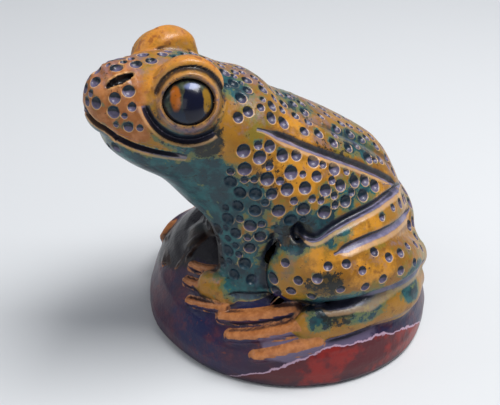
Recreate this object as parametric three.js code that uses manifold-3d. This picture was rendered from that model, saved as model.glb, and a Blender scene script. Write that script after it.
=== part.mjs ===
// A hand-built glazed clay frog, seated on a hollow domed mound.
// Every separately formed piece of clay is its own mesh: the mound, the hollow trunk, the head and
// jaw, the eyeballs and their lids, and each limb, finger and toe. Millimetres, +Z up, the nose
// towards -Y, the frog's left side at +X, and the origin under the middle of the whole object.
import * as THREE from "three";
import { mergeVertices } from "three/addons/utils/BufferGeometryUtils.js";
import Module from "manifold-3d";

const wasm = await Module();
wasm.setup();

// Driving dimensions
const GAP = 0.3; // luting gap between two touching pieces
const WALL = 6; // clay wall of the mound and the trunk
const MOUND_R = 43; // widest radius of the mound
const MOUND_TOP = 26.5; // height of the seat at the middle of the mound
const CROWN_Z = 17; // height of the joint between the mound's coiled wall and its crown
const STEAM_HOLE_R = 13; // hole through the mound's crown into the trunk
const EYE = new THREE.Vector3(14.6, -37, 79.3); // centre of the left eyeball
const EYE_R = 7.4;
const MOUTH_FRONT = new THREE.Vector3(0, -58.5, 75); // middle of the lips
const MOUTH_CORNER = new THREE.Vector3(17, -39, 65.8); // left end of the mouth
const MOUTH_GAP = 1.1;
const ORIGIN_Y = 8.05; // from the object's middle back to the mound's axis
const FAR = 200; // larger than the object, for cutting tools

// Colours of the glaze
const OCHRE = 0xb8842f;
const SEA_GREEN = 0x2f6f6a;
const NIGHT_BLUE = 0x14284a;
const SAND = 0xc58a52;
const AUBERGINE = 0x3d2a3c;

const glaze = (color, roughness) => new THREE.MeshStandardMaterial({ color, roughness, metalness: 0 });
const skinGlaze = glaze(OCHRE, 0.3);
const throatGlaze = glaze(SEA_GREEN, 0.3);
const eyeGlaze = glaze(NIGHT_BLUE, 0.08);
const toeGlaze = glaze(SAND, 0.45);
const moundGlaze = glaze(AUBERGINE, 0.35);

// A closed geometry as a solid. Poles collapse when vertices merge, so flat triangles are dropped.
function solid(geometry) {
  const bare = geometry.clone();
  bare.deleteAttribute("normal");
  bare.deleteAttribute("uv");
  const merged = mergeVertices(bare, 1e-4);
  const index = merged.index.array;
  const kept = [];
  for (let i = 0; i < index.length; i += 3) {
    const [a, b, c] = [index[i], index[i + 1], index[i + 2]];
    if (a !== b && b !== c && c !== a) kept.push(a, b, c);
  }
  const made = new wasm.Manifold(
    new wasm.Mesh({
      numProp: 3,
      vertProperties: merged.attributes.position.array,
      triVerts: new Uint32Array(kept),
    }),
  );
  return made;
}

// A limb: a capsule bent along stations [x, y, z, side, rise]. The section is an ellipse, with
// half-height rise towards ref and half-width side across it. caps are the lengths of the ends.
function limb(stations, { ref = [0, 0, 1], caps, radial = 16, rows = 10, grow = 0 } = {}) {
  const reference = new THREE.Vector3(...ref).normalize();
  const line = new THREE.CatmullRomCurve3(stations.map(([x, y, z]) => new THREE.Vector3(x, y, z)));
  const size = new THREE.CatmullRomCurve3(
    stations.map(([, , , side, rise]) => new THREE.Vector3(side, rise, 0)),
  );
  const [first, last] = [stations[0], stations[stations.length - 1]];
  const ends = caps ?? [(first[3] + first[4]) / 2, (last[3] + last[4]) / 2];
  const geometry = new THREE.CapsuleGeometry(1, 1, 3, radial, rows);
  const position = geometry.attributes.position;
  const point = new THREE.Vector3();
  for (let i = 0; i < position.count; i++) {
    const along = position.getY(i);
    const t = Math.min(1, Math.max(0, along + 0.5));
    const beyond = along + 0.5 - t;
    const tangent = line.getTangent(t);
    const rise = reference.clone().addScaledVector(tangent, -reference.dot(tangent)).normalize();
    const side = new THREE.Vector3().crossVectors(tangent, rise);
    const section = size.getPoint(t);
    const cap = (beyond < 0 ? ends[0] : ends[1]) + grow;
    point
      .copy(line.getPoint(t))
      .addScaledVector(tangent, beyond * cap)
      .addScaledVector(side, position.getX(i) * (section.x + grow))
      .addScaledVector(rise, position.getZ(i) * (section.y + grow));
    position.setXYZ(i, point.x, point.y, point.z);
  }
  const made = solid(geometry);
  return made.volume() < 0 ? solid(flipped(geometry)) : made;
}

// The same triangles wound the other way round.
function flipped(geometry) {
  const turned = geometry.clone();
  const index = turned.index.array;
  for (let i = 0; i < index.length; i += 3) [index[i + 1], index[i + 2]] = [index[i + 2], index[i + 1]];
  return turned;
}

function ball(centre, radii, segments = [16, 11]) {
  const geometry = new THREE.SphereGeometry(1, ...segments);
  geometry.scale(...radii);
  geometry.translate(...centre);
  return solid(geometry);
}

const union = (...pieces) => pieces.reduce((all, next) => all.add(next));
const without = (piece, ...tools) => tools.reduce((left, tool) => left.subtract(tool), piece);

// The largest body of a solid, so that a sliver left by a cut isn't kept.
function largest(piece) {
  return piece.decompose().reduce((best, next) => (next.volume() > best.volume() ? next : best));
}

// The mound: a coiled wall standing on its rim, open underneath, with a crown laid over it.
function moundOuter(grow = 0) {
  const outline = [
    [0, -grow],
    [42.2 + grow, -grow],
    [MOUND_R + grow, 1.2],
    [MOUND_R + grow, 5.5],
    [42 + grow, 9.5],
    [40.6 + grow, 13.5],
    [39 + grow, 16.5],
    [37.2 + grow, 19.5 + grow / 2],
    [34.6 + grow / 2, 22.2 + grow],
    [30, 24.4 + grow],
    [24, 25.8 + grow],
    [14, MOUND_TOP + grow],
    [0, MOUND_TOP + grow],
  ];
  return turned(outline);
}

function moundInner() {
  const rim = MOUND_R - WALL;
  const outline = [
    [0, -1],
    [rim, -1],
    [rim, 8],
    [rim - 3, 13],
    [rim - 9, 17.5],
    [rim - 17, 19.6],
    [0, MOUND_TOP - WALL],
  ];
  return turned(outline);
}

function turned(outline, segments = 48) {
  const lathe = new THREE.LatheGeometry(
    outline.map(([r, z]) => new THREE.Vector2(r, z)),
    segments,
  );
  lathe.rotateX(Math.PI / 2);
  const made = solid(lathe);
  return made.volume() < 0 ? solid(flipped(lathe)) : made;
}

function column(radius, low, high, y = 0) {
  const geometry = new THREE.CylinderGeometry(radius, radius, high - low, 32);
  geometry.rotateX(Math.PI / 2);
  geometry.translate(0, y, (low + high) / 2);
  return solid(geometry);
}

// The trunk: rump to neck along the spine.
const TRUNK = [
  [0, 21, 25, 25, 17.5],
  [0, 9, 35, 29, 22.3],
  [0, -8, 49, 27, 20.4],
  [0, -20, 60, 21, 16],
];
const trunkForm = (grow = 0) =>
  limb(TRUNK, { caps: [15, 13], radial: 24, rows: 8, grow });

// The head, from the neck to the nose, with a brow over each eye.
const HEAD = [
  [0, -21, 65.5, 18, 13.8],
  [0, -37, 70, 18, 15.5],
  [0, -48, 74.2, 13.5, 11.2],
  [0, -54, 76, 8.6, 7.2],
];
const THROAT = [
  [0, -52, 70.5, 8, 4],
  [0, -45.5, 65.5, 12.5, 5.5],
  [0, -35.5, 58.5, 14.5, 7.5],
  [0, -27, 49, 13, 8],
];
const headForm = (grow = 0) =>
  union(
    limb(HEAD, { caps: [9, 4.8], radial: 20, rows: 8, grow }),
    ball([12, -34.8, 79.4], [7.4 + grow, 10.4 + grow, 8.6 + grow]),
    ball([-12, -34.8, 79.4], [7.4 + grow, 10.4 + grow, 8.6 + grow]),
  );
const throatForm = (grow = 0) => limb(THROAT, { caps: [4, 7], radial: 16, rows: 7, grow });

// Everything above the mouth's plane, which runs from the lips down through both corners.
function aboveMouth(offset) {
  const slope = Math.atan2(MOUTH_CORNER.z - MOUTH_FRONT.z, MOUTH_CORNER.y - MOUTH_FRONT.y);
  const geometry = new THREE.BoxGeometry(FAR, FAR, FAR);
  geometry.translate(0, 0, FAR / 2 + offset);
  geometry.rotateX(slope);
  geometry.translate(0, MOUTH_FRONT.y, MOUTH_FRONT.z);
  return solid(geometry);
}

// A lid: a coil of clay laid round the eyeball from angle start to end, counted from the nose side
// over the top, in the plane that faces outwards.
const EYE_OUT = new THREE.Vector3(0.82, -0.36, 0.44).normalize();
function lidStations(start, end, radius, lift, thick) {
  const up = new THREE.Vector3(0, 0, 1).addScaledVector(EYE_OUT, -EYE_OUT.z).normalize();
  const nose = new THREE.Vector3().crossVectors(EYE_OUT, up).negate();
  const steps = 6;
  return Array.from({ length: steps + 1 }, (_, i) => {
    const share = i / steps;
    const angle = THREE.MathUtils.degToRad(start + (end - start) * share);
    const taper = 0.55 + 0.45 * Math.sin(Math.PI * share);
    const at = EYE.clone()
      .addScaledVector(EYE_OUT, lift)
      .addScaledVector(nose, radius * Math.cos(angle))
      .addScaledVector(up, radius * Math.sin(angle));
    return [at.x, at.y, at.z, thick * taper, thick * taper];
  });
}

// The left limbs. Each row is [x, y, z, side, rise].
const ARM = [
  [12.6, -17.6, 57, 10, 7.6],
  [14.8, -20.2, 45, 11.2, 9.2],
  [15.8, -20.8, 33, 10.4, 9.8],
  [16.2, -21, 24, 10.2, 9.4],
];
const OUTWARDS = [0.68, -0.73, 0];
const THIGH = [
  [11.5, 25.5, 31, 8, 7.2],
  [21.5, 14, 37, 9, 8],
  [27, -1, 38.6, 8, 7],
  [27, -9, 35, 7.5, 6.5],
];
const SHANK = [
  [20, 27.5, 21.5, 10, 7],
  [28.5, 15, 27, 10, 8.6],
  [31, 1, 30, 9.4, 9],
  [28.5, -8.5, 29.5, 9, 8.6],
];
const FOOT = [
  [25, 29, 15, 6, 6],
  [33, 18, 17.5, 5.4, 6],
  [36, 3, 18.5, 4.6, 6],
  [35, -9, 17, 4.2, 5.6],
];
const PALM = [
  [16.5, -27.5, 22, 4.2, 4.4],
  [12.5, -30.2, 21.6, 3.8, 3.8],
];

const DIGIT_SINK = 0.9; // how far a digit's axis lies inside the mound's wall
const FINGER_R = 2.1;
const TOE_R = 2.5;

// Fingers and toes lie on the mound's wall. Each runs from a root to a tip, as [degrees round from
// the front, height].
const FINGERS = [
  [[25, 24], [4, 21.6]],
  [[30, 21.6], [8, 18.8]],
  [[34, 18.4], [16, 16]],
];
const TOES = [
  [[66, 20.4], [35, 16.4]],
  [[69, 17], [41, 13]],
  [[75, 13.6], [52, 9.2]],
];

// Radius of the mound's wall at a height.
function wallRadius(z) {
  const profile = [[6, 42.7], [9.5, 42], [13.5, 40.6], [16.5, 39], [19.5, 37.2], [22.2, 34.6], [24.4, 30]];
  const above = profile.findIndex(([height]) => height >= z);
  if (above <= 0) return profile[above === 0 ? 0 : profile.length - 1][1];
  const [[z0, r0], [z1, r1]] = [profile[above - 1], profile[above]];
  return r0 + ((r1 - r0) * (z - z0)) / (z1 - z0);
}

function digit([root, tip], thick) {
  const steps = 4;
  return Array.from({ length: steps + 1 }, (_, i) => {
    const share = i / steps;
    const z = THREE.MathUtils.lerp(root[1], tip[1], share);
    const angle = THREE.MathUtils.degToRad(THREE.MathUtils.lerp(root[0], tip[0], share));
    const radius = wallRadius(z) - DIGIT_SINK;
    const size = thick * (1 - 0.25 * share);
    return [radius * Math.sin(angle), -radius * Math.cos(angle), z, size, size * 0.95];
  });
}

const mirrored = (stations) => stations.map(([x, ...rest]) => [-x, ...rest]);

// The frog, about the mound's axis
const frog = new THREE.Group();
frog.position.y = ORIGIN_Y;

function place(name, piece, material) {
  const found = largest(piece).getMesh();
  const geometry = new THREE.BufferGeometry();
  const corners = new Float32Array(found.numVert * 3);
  for (let i = 0; i < found.numVert; i++)
    corners.set(found.vertProperties.subarray(i * found.numProp, i * found.numProp + 3), i * 3);
  geometry.setAttribute("position", new THREE.BufferAttribute(corners, 3));
  geometry.setIndex(new THREE.BufferAttribute(new Uint32Array(found.triVerts), 1));
  geometry.computeVertexNormals();
  const mesh = new THREE.Mesh(geometry, material);
  mesh.name = name;
  frog.add(mesh);
}

// A row of digits, each one laid against the last. Returns all the space that's now taken.
function digits(name, rows, thick, flip, around) {
  let taken = around;
  rows.forEach((row, i) => {
    const coil = (grow) => limb(flip(digit(row, thick)), { radial: 8, rows: 4, grow });
    place(`${name}_${i + 1}`, coil(0).subtract(taken), toeGlaze);
    taken = taken.add(coil(GAP));
  });
  return taken;
}

// Mound
const seat = moundOuter(GAP);
const mound = without(moundOuter(), moundInner(), column(STEAM_HOLE_R, 10, MOUND_TOP + 5));
place("base_wall", mound.subtract(column(FAR, CROWN_Z - GAP / 2, FAR)), moundGlaze);
place("base_crown", mound.subtract(column(FAR, -FAR, CROWN_Z + GAP / 2)), moundGlaze);

// Trunk shell, open at the bottom over the steam hole
const trunkSolid = trunkForm();
const hollowTrunk = limb(
  TRUNK.map(([x, y, z, side, rise]) => [x, y, z, side - WALL, rise - WALL]),
  { caps: [15 - WALL, 6], radial: 16, rows: 6 },
);
place("trunk_shell", without(trunkSolid, seat, hollowTrunk), skinGlaze);

// Head and jaw, parted along the mouth
const trunkGrown = trunkForm(GAP);
const headSolid = headForm();
const sockets = [1, -1].map((s) => ball([s * EYE.x, EYE.y, EYE.z], Array(3).fill(EYE_R + GAP), [20, 14]));
const nostrils = [1, -1].map((s) => ball([s * 5.2, -52, 84], [1.1, 2.6, 1.8], [10, 6]));
const head = without(headSolid.intersect(aboveMouth(MOUTH_GAP / 2)), trunkGrown);
place("head", without(head, ...sockets, ...nostrils), skinGlaze);
const jaw = union(headSolid, throatForm()).subtract(aboveMouth(-MOUTH_GAP / 2));
place("lower_jaw", without(jaw, trunkGrown, seat), throatGlaze);

const bodyGrown = union(trunkGrown, seat);
const headGrown = union(headForm(GAP), throatForm(GAP));

for (const [side, s] of [["left", 1], ["right", -1]]) {
  const flip = (stations) => (s > 0 ? stations : mirrored(stations));
  const outwards = [s * OUTWARDS[0], OUTWARDS[1], 0];

  // Eye
  const eyeball = ball([s * EYE.x, EYE.y, EYE.z], Array(3).fill(EYE_R), [20, 14]);
  place(`eyeball_${side}`, eyeball, eyeGlaze);
  const socket = ball([s * EYE.x, EYE.y, EYE.z], Array(3).fill(EYE_R + GAP), [20, 14]);
  const upper = limb(flip(lidStations(8, 172, 8.1, 1.6, 2.2)), { ref: [s, -0.4, 0.5], radial: 8, rows: 8 });
  const lower = limb(flip(lidStations(-10, -170, 7.8, 1.6, 1.7)), { ref: [s, -0.4, 0.5], radial: 8, rows: 8 });
  const upperLid = without(upper, socket, headGrown);
  place(`upper_lid_${side}`, upperLid, skinGlaze);
  place(`lower_lid_${side}`, without(lower, socket, headGrown), skinGlaze);

  // Foreleg, hand and fingers
  const arm = (grow) => limb(flip(ARM), { ref: outwards, caps: [9, 5], radial: 16, rows: 6, grow });
  place(`foreleg_${side}`, without(arm(0), bodyGrown, headGrown), skinGlaze);
  const palm = (grow) => limb(flip(PALM), { caps: [5, 3.5], radial: 10, rows: 2, grow });
  const armGrown = arm(GAP);
  place(`palm_${side}`, without(palm(0), bodyGrown, armGrown), skinGlaze);
  const taken = union(bodyGrown, armGrown, palm(GAP));
  const handGrown = digits(`finger_${side}`, FINGERS, FINGER_R, flip, taken);

  // Hind leg: the shank is laid over the thigh, and the foot is laid under both
  const shank = (grow) => limb(flip(SHANK), { caps: [8, 9], radial: 16, rows: 7, grow });
  const thigh = (grow) => limb(flip(THIGH), { caps: [5, 7], radial: 14, rows: 7, grow });
  const foot = (grow) => limb(flip(FOOT), { caps: [7, 6], radial: 12, rows: 7, grow });
  place(`shank_${side}`, without(shank(0), bodyGrown, armGrown), skinGlaze);
  const shankGrown = shank(GAP);
  place(`thigh_${side}`, without(thigh(0), bodyGrown, armGrown, shankGrown), skinGlaze);
  const legGrown = union(shankGrown, thigh(GAP), armGrown);
  place(`foot_${side}`, without(foot(0), bodyGrown, legGrown), skinGlaze);
  digits(`toe_${side}`, TOES, TOE_R, flip, union(handGrown, legGrown, foot(GAP)));
}

export default frog;
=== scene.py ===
"""A hand-built, glazed clay frog on a domed base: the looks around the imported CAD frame.

The skin is one field of distances in millimetres. It is meshed once, and then parted along the
joints between the clay pieces, so that every CAD node gets its own closed piece of the same skin.
"""

import math

import bpy
import numpy as np
import openvdb
from mathutils import Matrix, Vector


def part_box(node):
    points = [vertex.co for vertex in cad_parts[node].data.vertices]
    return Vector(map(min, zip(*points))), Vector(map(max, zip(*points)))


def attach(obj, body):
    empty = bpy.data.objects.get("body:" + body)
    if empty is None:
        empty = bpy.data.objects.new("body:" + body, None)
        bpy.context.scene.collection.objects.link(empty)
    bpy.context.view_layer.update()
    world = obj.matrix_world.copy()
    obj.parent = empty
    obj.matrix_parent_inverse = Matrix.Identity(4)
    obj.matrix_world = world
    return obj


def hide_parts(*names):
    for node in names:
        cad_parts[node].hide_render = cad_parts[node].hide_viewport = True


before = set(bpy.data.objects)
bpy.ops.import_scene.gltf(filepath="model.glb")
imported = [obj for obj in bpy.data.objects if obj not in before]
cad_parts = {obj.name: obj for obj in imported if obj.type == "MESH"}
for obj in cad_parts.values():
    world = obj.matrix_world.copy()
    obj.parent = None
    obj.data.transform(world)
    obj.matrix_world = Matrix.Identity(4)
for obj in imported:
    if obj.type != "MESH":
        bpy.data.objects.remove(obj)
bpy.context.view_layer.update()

SEED = 39
VOXEL = 0.44
MARGIN = 11.0  # how far outside its box a form can still blend with others

# The axis of the mound, in millimetres in the row frame
low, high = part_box("base_wall")
ORIGIN = np.array([(low.x + high.x) / 2, (low.y + high.y) / 2, 0.0]) * 1000
low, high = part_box("eyeball_left")
EYE = np.array((low + high) / 2) * 1000 - ORIGIN - [1.7, -0.5, 0.8]
EYE_R = (high.z - low.z) * 500


def unit(v):
    v = np.asarray(v, float)
    return v / np.linalg.norm(v, axis=-1, keepdims=True)


# ---------------------------------------------------------------- forms

TRUNK = [
    (0, 21, 25, 25, 17.5),
    (0, 9, 35, 29, 23.2),
    (0, -8, 49, 27, 20.6),
    (0, -20, 60, 21, 16.7),
]
HEAD = [
    (0, -21, 65, 18, 13.4),
    (0, -36, 70.5, 18, 15),
    (0, -46, 74.3, 14.6, 13.4),
    (0, -52, 76.5, 10.8, 10.3),
    (0, -55.3, 76.9, 8, 7),
]
THROAT = [
    (0, -51.5, 71.2, 8, 4),
    (0, -45.5, 66.2, 12.5, 5.4),
    (0, -35.5, 59.2, 14.5, 7.4),
    (0, -27, 49, 13, 8),
]
ARM = [
    (11.5, -16.8, 57, 10, 7.6),
    (12.9, -19.0, 45, 11, 8.8),
    (13.8, -18.8, 33, 9.0, 8.8),
    (15.8, -19.2, 21.5, 9.4, 8.8),
]
THIGH = [
    (10, 23.5, 31.5, 7.5, 6.6),
    (21, 13.5, 37, 9, 8),
    (26.5, 0, 38.6, 8, 7),
    (27, -6.5, 35.5, 7.5, 6.5),
]
SHANK = [
    (19, 25.6, 22, 9.5, 7),
    (28, 15, 27, 9.6, 8.6),
    (30.5, 2, 30, 9.2, 9),
    (28.5, -6.2, 29.5, 9, 8.6),
]
FOOT = [
    (24, 26.6, 15, 5.6, 6),
    (33, 18, 17.5, 5.4, 6),
    (36, 3, 18.5, 4.6, 6),
    (35, -9, 17, 4.2, 5.6),
]
PALM = [
    (16.5, -27.5, 22, 4.2, 4.4),
    (12.5, -30.2, 21.6, 3.8, 3.8),
]
MOUND = [
    (0, 0), (42.2, 0), (43, 1.2), (42.9, 5), (41.6, 9.5), (39.8, 13.5), (37.5, 16.5),
    (34.9, 19.5), (31.8, 22.2), (27.6, 24.2), (22.5, 25.6), (14, 26.5), (0, 26.5),
]
CROWN_Z = 17.0
FINGERS = [((25, 24), (4, 21.6)), ((30, 21.6), (8, 18.8)), ((34, 18.4), (16, 16))]
TOES = [((66, 20.4), (35, 16.4)), ((69, 17), (41, 13)), ((75, 13.6), (52, 9.2))]
MOUTH_FRONT = (-58.5, 75.0)  # y, z of the lips
MOUTH_CORNER = (-39.0, 65.8)


def smooth_curve(rows, n):
    """A Catmull-Rom curve through rows, as n samples, whatever the number of columns."""
    rows = np.asarray(rows, float)
    ends = np.vstack([2 * rows[0] - rows[1], rows, 2 * rows[-1] - rows[-2]])
    t = np.linspace(0, len(rows) - 1, n)
    i = np.minimum(t.astype(int), len(rows) - 2)
    f = (t - i)[:, None]
    a, b, c, d = ends[i], ends[i + 1], ends[i + 2], ends[i + 3]
    return 0.5 * (
        2 * b
        + (c - a) * f
        + (2 * a - 5 * b + 4 * c - d) * f**2
        + (3 * b - a - 3 * c + d) * f**3
    )


def nearest(points, line):
    """For each point, how far the polyline is, and where on it, counted in segments."""
    best = np.full(len(points), np.inf, np.float32)
    at = np.zeros(len(points), np.float32)
    for i in range(len(line) - 1):
        a, d = line[i, :3], line[i + 1, :3] - line[i, :3]
        q = points - a
        t = np.clip(q @ d / max(d @ d, 1e-12), 0, 1)
        q -= t[:, None] * d
        gap = np.einsum("ij,ij->i", q, q)
        closer = gap < best
        best[closer] = gap[closer]
        at[closer] = i + t[closer]
    return np.sqrt(best), at


def along(values, at):
    """Values at fractional positions of a polyline."""
    i = np.minimum(at.astype(int), len(values) - 2)
    f = (at - i).reshape((-1,) + (1,) * (values.ndim - 1))
    return values[i] * (1 - f) + values[i + 1] * f


def within(points, low, high, margin=MARGIN):
    return np.all((points > np.asarray(low) - margin) & (points < np.asarray(high) + margin), 1)


class Limb:
    """A form swept along stations (x, y, z, half-width, half-height), with rounded ends."""

    def __init__(self, rows, caps=None, up=(0, 0, 1), samples=16):
        rows = np.asarray(rows, float)
        self.caps = caps or (rows[0, 3:].mean(), rows[-1, 3:].mean())
        self.line = smooth_curve(rows, samples)
        tangent = unit(np.gradient(self.line[:, :3], axis=0))
        rise = np.asarray(up, float) - (tangent @ np.asarray(up, float))[:, None] * tangent
        rise = unit(rise)
        self.axes = np.stack([np.cross(tangent, rise), rise, tangent], 1)
        reach = self.line[:, 3:].max()
        reach = max(reach, *self.caps)
        self.low = self.line[:, :3].min(0) - reach
        self.high = self.line[:, :3].max(0) + reach

    def __call__(self, points):
        out = np.full(len(points), MARGIN, np.float32)
        near = within(points, self.low, self.high)
        if not near.any():
            return out
        p = points[near]
        _, at = nearest(p, self.line)
        row = along(self.line, at)
        axes = along(self.axes, at)
        q = np.einsum("nij,nj->ni", axes, p - row[:, :3])
        last = len(self.line) - 1
        size = np.stack(
            [row[:, 3], row[:, 4], np.where(at <= 0, self.caps[0], self.caps[1])], 1
        )
        q[:, 2] *= (at <= 0) | (at >= last)
        f = np.sqrt(((q / size) ** 2).sum(1)) + 1e-6
        g = np.sqrt(((q / size**2) ** 2).sum(1)) + 1e-9
        out[near] = np.minimum((f - 1) * f / g, MARGIN)
        return out


class Ball:
    def __init__(self, centre, radii):
        self.centre = np.asarray(centre, float)
        self.radii = np.ones(3) * radii
        self.low, self.high = self.centre - self.radii, self.centre + self.radii

    def __call__(self, points):
        out = np.full(len(points), MARGIN, np.float32)
        near = within(points, self.low, self.high)
        q = points[near] - self.centre
        f = np.sqrt(((q / self.radii) ** 2).sum(1)) + 1e-6
        g = np.sqrt(((q / self.radii**2) ** 2).sum(1)) + 1e-9
        out[near] = np.minimum((f - 1) * f / g, MARGIN)
        return out


class Lathe:
    """A turned form: signed distance to a closed profile of (radius, height)."""

    def __init__(self, profile):
        self.profile = np.asarray(profile, float)

    def __call__(self, points):
        r = np.hypot(points[:, 0], points[:, 1])
        p = np.stack([r, points[:, 2]], 1)
        best = np.full(len(p), np.inf)
        inside = np.zeros(len(p), bool)
        corners = self.profile
        for a, b in zip(corners, np.roll(corners, -1, 0)):
            d = b - a
            if not d.any():
                continue
            q = p - a
            t = np.clip(q @ d / (d @ d), 0, 1)
            if a[0] or b[0]:  # the stretch on the axis isn't part of the surface
                best = np.minimum(best, ((q - t[:, None] * d) ** 2).sum(1))
            crosses = (a[1] > p[:, 1]) != (b[1] > p[:, 1])
            with np.errstate(divide="ignore", invalid="ignore"):
                x = a[0] + (p[:, 1] - a[1]) * d[0] / d[1]
            inside ^= crosses & (p[:, 0] < x)
        out = np.sqrt(best)
        return np.where(inside, -out, out).astype(np.float32)


def blend(a, b, k):
    """Smooth union."""
    h = np.clip(0.5 + 0.5 * (b - a) / k, 0, 1)
    return b + (a - b) * h - k * h * (1 - h)


def carve(a, b, k):
    """Smooth cut of b out of a."""
    return -blend(-a, b, k)


def smoothstep(low, high, x):
    t = np.clip((x - low) / (high - low), 0, 1)
    return t * t * (3 - 2 * t)


def wall_radius(z):
    profile = np.array(MOUND[3:11], float)
    return np.interp(z, profile[:, 1], profile[:, 0])


def digit(ends, thick, sink):
    """Stations of a finger or toe that lies on the mound's wall."""
    (a0, z0), (a1, z1) = ends
    share = np.linspace(0, 1, 6)
    z = z0 + (z1 - z0) * share
    angle = np.radians(a0 + (a1 - a0) * share)
    radius = wall_radius(z) - sink
    size = thick * (1 - 0.25 * share)
    return np.stack(
        [radius * np.sin(angle), -radius * np.cos(angle), z, size, size * 0.95], 1
    )


class Noise:
    """Smooth random values in space, from a few seeded waves."""

    def __init__(self, seed, scale, waves=14):
        rng = np.random.default_rng(SEED + seed)
        self.k = rng.normal(size=(waves, 3)) * 2 * math.pi / scale * 0.6
        self.phase = rng.uniform(0, 2 * math.pi, waves)

    def __call__(self, points):
        out = np.zeros(len(points), np.float32)
        for k, phase in zip(self.k, self.phase):
            out += np.sin(points @ k + phase)
        return out / math.sqrt(len(self.k))


trunk = Limb(TRUNK, (15, 13))
skull = Limb(HEAD, (9, 3.6))
throat = Limb(THROAT, (4, 7))
brow = Ball((10.6, -35.6, 80), (6.9, 8.8, 8.8))
arm = Limb(ARM, (9, 5), up=(0.68, -0.73, 0))
palm = Limb(PALM, (5, 3.5))
thigh = Limb(THIGH, (5, 6))
shank = Limb(SHANK, (6.5, 7.5))
foot = Limb(FOOT, (5.5, 6))
fingers = [Limb(digit(f, 1.5, 0.2)) for f in FINGERS]
toes = [Limb(digit(t, 2.0, 0.3)) for t in TOES]
mound = Lathe(MOUND)
lid_shell = Ball(EYE, EYE_R + 0.7)
EYE_OUT = unit([0.86, -0.26, 0.43])
EYE_SHIFT = (1.6, 2.0)  # how far the right eye sits in and back
EYE_UP = unit(np.array([0, 0, 1]) - EYE_OUT[2] * EYE_OUT)
EYE_FORE = np.cross(EYE_UP, EYE_OUT)
if EYE_FORE[1] > 0:
    EYE_FORE = -EYE_FORE
hand_made = [Noise(n, 26) for n in range(3)]


def on(form, share, turn):
    """A place on the left side of a form: how far along it, and the turn from its outer side up."""
    at = np.array([share * (len(form.line) - 1)])
    row, axes = along(form.line, at)[0], along(form.axes, at)[0]
    outward = axes[0] * np.sign(axes[0, 0])
    t = math.radians(turn)
    return row[:3] + math.cos(t) * row[3] * outward + math.sin(t) * row[4] * axes[1]


def run(form, shares, turns, count=8):
    """A line drawn over a form while its share and turn change smoothly."""
    t = np.linspace(0, 1, count)
    share = np.interp(t, np.linspace(0, 1, len(shares)), shares)
    turn = np.interp(t, np.linspace(0, 1, len(turns)), turns)
    return [on(form, a, b) for a, b in zip(share, turn)]


# Clay smoothed between arm and knee, and the deep corner above it
web = Ball((on(arm, 0.8, 50) + shank.line[-1, :3]) / 2, (5.7, 5.5, 10))
POCKET = (on(thigh, 1, 60) + on(arm, 0.38, 10)) / 2


def eye_polar(points):
    """Distance from the left eye's axis, angle from the nose side over the top, and height."""
    q = points - EYE
    fore, up, out = q @ EYE_FORE, q @ EYE_UP, q @ EYE_OUT
    return np.hypot(fore, up), np.degrees(np.arctan2(up, fore)), out


def fold(points):
    """The left half stands for both, but the hand that made the right side drew it in a little:
    its eye sits further back, and its arm and leg closer."""
    p = points.astype(np.float32).copy()
    right = smoothstep(0, 7, -p[:, 0])
    eye = right * smoothstep(66, 74, p[:, 2]) * smoothstep(-18, -28, p[:, 1])
    front = smoothstep(0, -10, p[:, 1])
    limb = right * smoothstep(17 - 2 * front, 25 - 5 * front, p[:, 2]) * smoothstep(62, 50, p[:, 2])
    p[:, 0] = np.abs(p[:, 0]) + EYE_SHIFT[0] * eye + (5.0 + 2.4 * front) * limb
    p[:, 1] -= EYE_SHIFT[1] * eye + 4.2 * limb * front
    return p


def over_mound(points):
    """Distance to the mound, which is a little wider than it is long."""
    return mound(points * np.array([1, 1.028, 1], np.float32))


def parts(p, whole=None):
    """Each clay piece's own distance, without any blending. whole is p before it was folded."""
    found = {
        "trunk_shell": trunk(p),
        "head": np.minimum(skull(p), brow(p)),
        "lower_jaw": throat(p),
        "foreleg": arm(p),
        "palm": palm(p),
        "thigh": thigh(p),
        "shank": shank(p),
        "foot": foot(p),
        "mound": over_mound(p if whole is None else whole),
    }
    for i in range(3):
        found[f"finger_{i + 1}"] = fingers[i](p)
        found[f"toe_{i + 1}"] = toes[i](p)
    return found


def clay(points):
    """The clay before its carving: every form blended into its neighbours."""
    wobble = np.stack([n(points) for n in hand_made], 1) * 0.22
    whole = points.astype(np.float32) + wobble
    p = fold(whole)
    s = parts(p, whole)
    d = blend(s["trunk_shell"], s["head"], 7)
    d = blend(d, s["lower_jaw"], 5)
    d = blend(d, lid_shell(p), 2.2)
    d = blend(d, s["foreleg"], 5.5)
    leg = blend(s["thigh"], s["shank"], 2.5)
    leg = blend(leg, s["foot"], 1.2)
    d = blend(d, leg, 3.0)
    d = blend(d, web(p), 4)
    ground = blend(s["mound"], s["palm"], 2.5)
    for i in range(3):
        ground = blend(ground, s[f"finger_{i + 1}"], 0.7)
        ground = blend(ground, s[f"toe_{i + 1}"], 1.2)
    return np.maximum(blend(d, ground, 1.3), -points[:, 2])


def gradient(field, points, step=0.12):
    out = np.empty((len(points), 3))
    for axis in range(3):
        ahead = np.zeros(3)
        ahead[axis] = step
        out[:, axis] = field(points + ahead) - field(points - ahead)
    return out / (2 * step)


def settle(field, points, rounds=2):
    """Moves points onto the field's surface and returns them with the outward normals."""
    for _ in range(rounds):
        slope = gradient(field, points)
        size = np.maximum((slope**2).sum(1), 0.05)
        step = field(points) / size
        points = points - np.clip(step, -0.5, 0.5)[:, None] * slope
    return points, unit(gradient(field, points))


# ---------------------------------------------------------------- carving

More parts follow.
